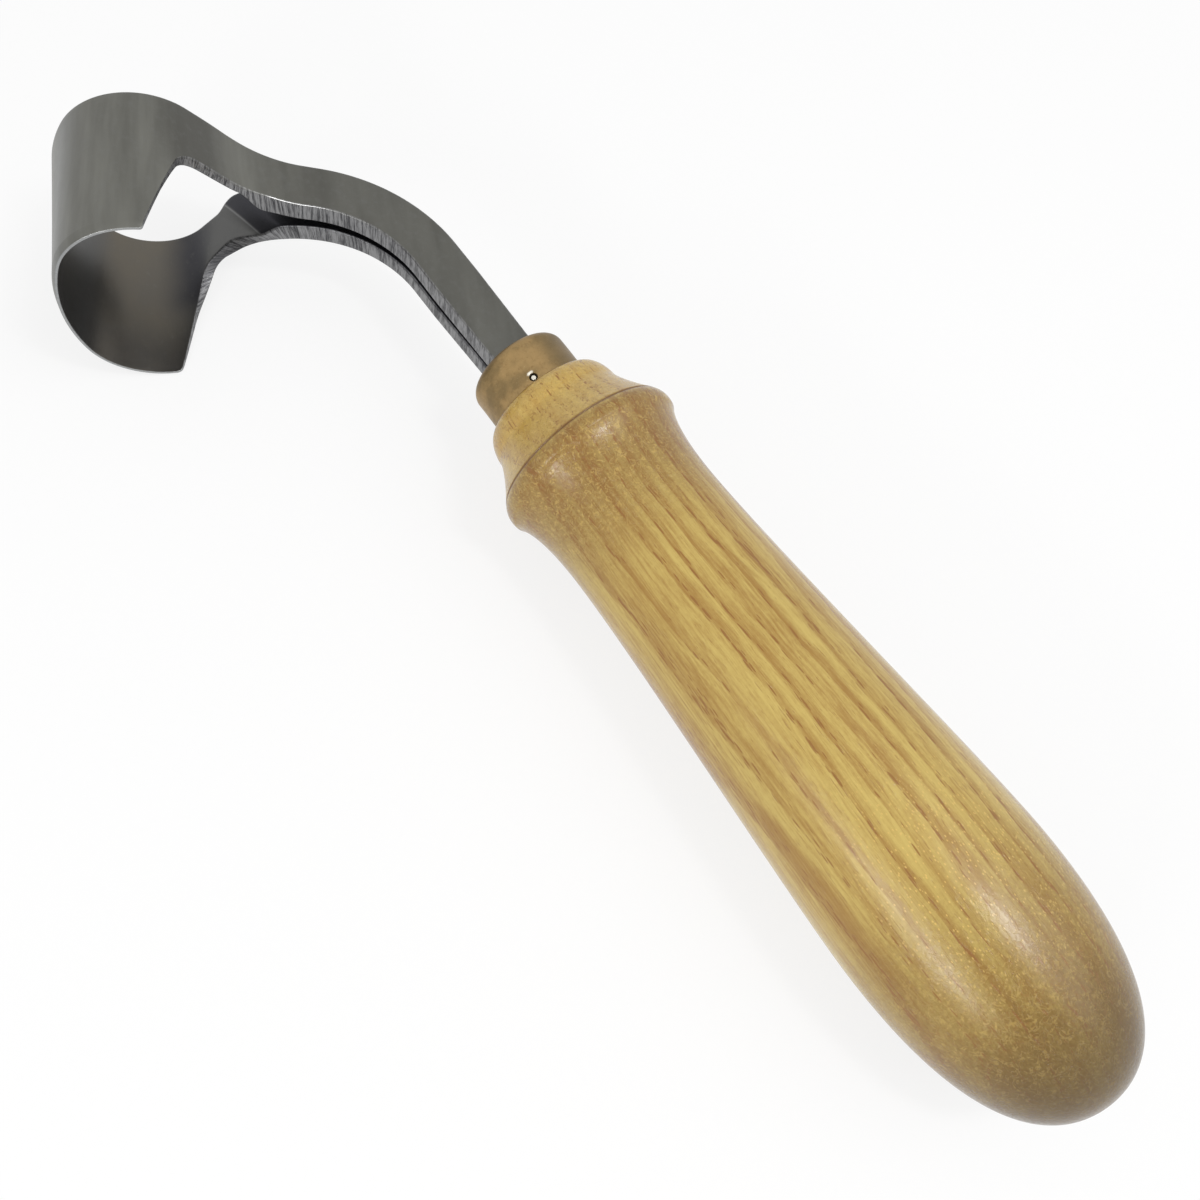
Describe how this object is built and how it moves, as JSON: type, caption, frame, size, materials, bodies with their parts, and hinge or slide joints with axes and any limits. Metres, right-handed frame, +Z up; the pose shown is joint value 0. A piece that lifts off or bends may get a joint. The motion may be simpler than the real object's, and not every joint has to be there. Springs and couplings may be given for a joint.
{
  "type": "scorp",
  "caption": "One-handed scorp for hollowing wood: a teardrop loop of thin ground steel on a cranked double shank, in a turned ash handle with a brass ferrule.",
  "frame": {"origin": "on the handle's axis at the ferrule's front face, where the shanks leave the handle", "axes": "the tool lies on its side: +X along the handle to its butt, with the blade on the -X side and its loop reaching towards -Y, +Z up; the plane Z = 0 is the blade's plane of symmetry"},
  "size_m": [0.1946, 0.0682, 0.0342],
  "materials": {
    "ash": "lacquered ash, satin to gloss",
    "brass": "dull satin",
    "pin_steel": "bright drawn wire",
    "blade_steel": "ground and polished, slightly brown from hardening",
    "resin": "set amber resin"
  },
  "bodies": {
    "root": {"handle": "ash", "ferrule": "brass", "ferrule_pin": "pin_steel", "blade": "blade_steel", "tang_bedding": "resin"}
  },
  "joints": []
}
